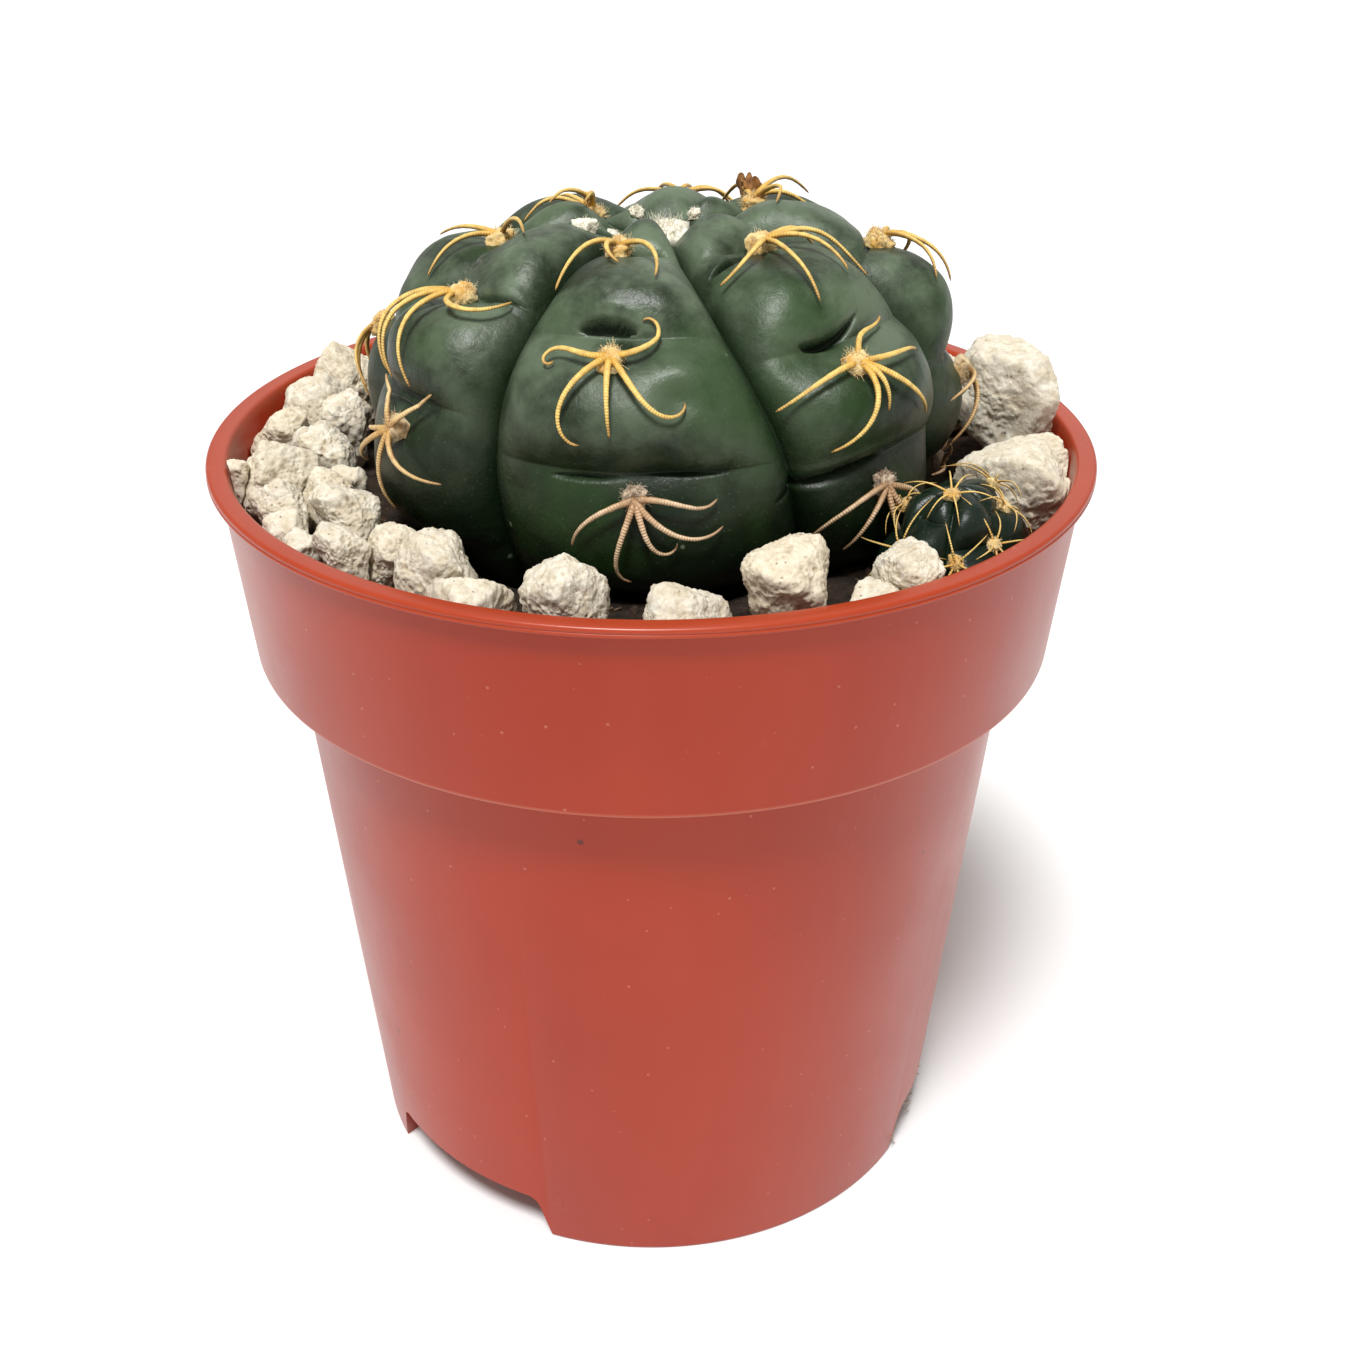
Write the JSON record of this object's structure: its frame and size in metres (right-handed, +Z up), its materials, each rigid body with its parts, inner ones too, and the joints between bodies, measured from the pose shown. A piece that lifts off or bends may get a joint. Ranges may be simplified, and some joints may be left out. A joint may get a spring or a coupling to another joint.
{
  "type": "potted round cactus",
  "caption": "Round ribbed green cactus with curved golden spines and a small offset, in a terracotta-coloured plastic nursery pot topped with pale pumice.",
  "frame": {"origin": "centre of the object's bounding box at its bottom: on the pot's axis, at the plane its feet stand on", "axes": "+Z up along the pot's axis, -Y towards the front, where the widest rib shows; +X to the right seen from the front"},
  "size_m": [0.085, 0.085, 0.1018],
  "materials": {
    "pot_plastic": "satin terracotta-red moulded plastic, smooth, with faint scuffs",
    "soil": "dark moist peat-based potting mix",
    "cactus_skin": "waxy dark green skin, semi-matt, paler on the crests",
    "spine": "dry golden-yellow spines on cream wool, browner on the lower rows",
    "wool": "cream-white plant wool",
    "dried_flower": "shrivelled brown flower remains",
    "pumice": "porous cream-white pumice"
  },
  "bodies": {
    "root": {"apex_wool": "wool", "cactus_body": "cactus_skin", "dried_flower": "dried_flower", "offset_pup": "cactus_skin", "pot": "pot_plastic", "potting_soil": "soil", "pumice_01": "pumice", "pumice_02": "pumice", "pumice_03": "pumice", "pumice_04": "pumice", "pumice_05": "pumice", "pumice_06": "pumice", "pumice_07": "pumice", "pumice_08": "pumice", "pumice_09": "pumice", "pumice_10": "pumice", "pumice_11": "pumice", "pumice_12": "pumice", "pumice_13": "pumice", "pumice_14": "pumice", "pumice_15": "pumice", "pumice_16": "pumice", "pumice_17": "pumice", "pumice_18": "pumice", "pumice_19": "pumice", "pumice_20": "pumice", "pumice_21": "pumice", "pumice_22": "pumice", "pumice_23": "pumice", "pumice_24": "pumice", "pumice_25": "pumice", "pumice_26": "pumice", "pumice_27": "pumice", "pumice_28": "pumice", "pup_spines_1": "spine", "pup_spines_2": "spine", "pup_spines_3": "spine", "spines_a1": "spine", "spines_a2": "spine", "spines_a3": "spine", "spines_b1": "spine", "spines_b2": "spine", "spines_c1": "spine", "spines_c2": "spine", "spines_c3": "spine", "spines_d1": "spine", "spines_d2": "spine", "spines_d3": "spine", "spines_e1": "spine", "spines_e2": "spine", "spines_e3": "spine", "spines_f1": "spine", "spines_f2": "spine", "spines_f3": "spine", "spines_g1": "spine", "spines_g2": "spine", "spines_h1": "spine", "spines_h2": "spine", "spines_h3": "spine"}
  },
  "joints": []
}
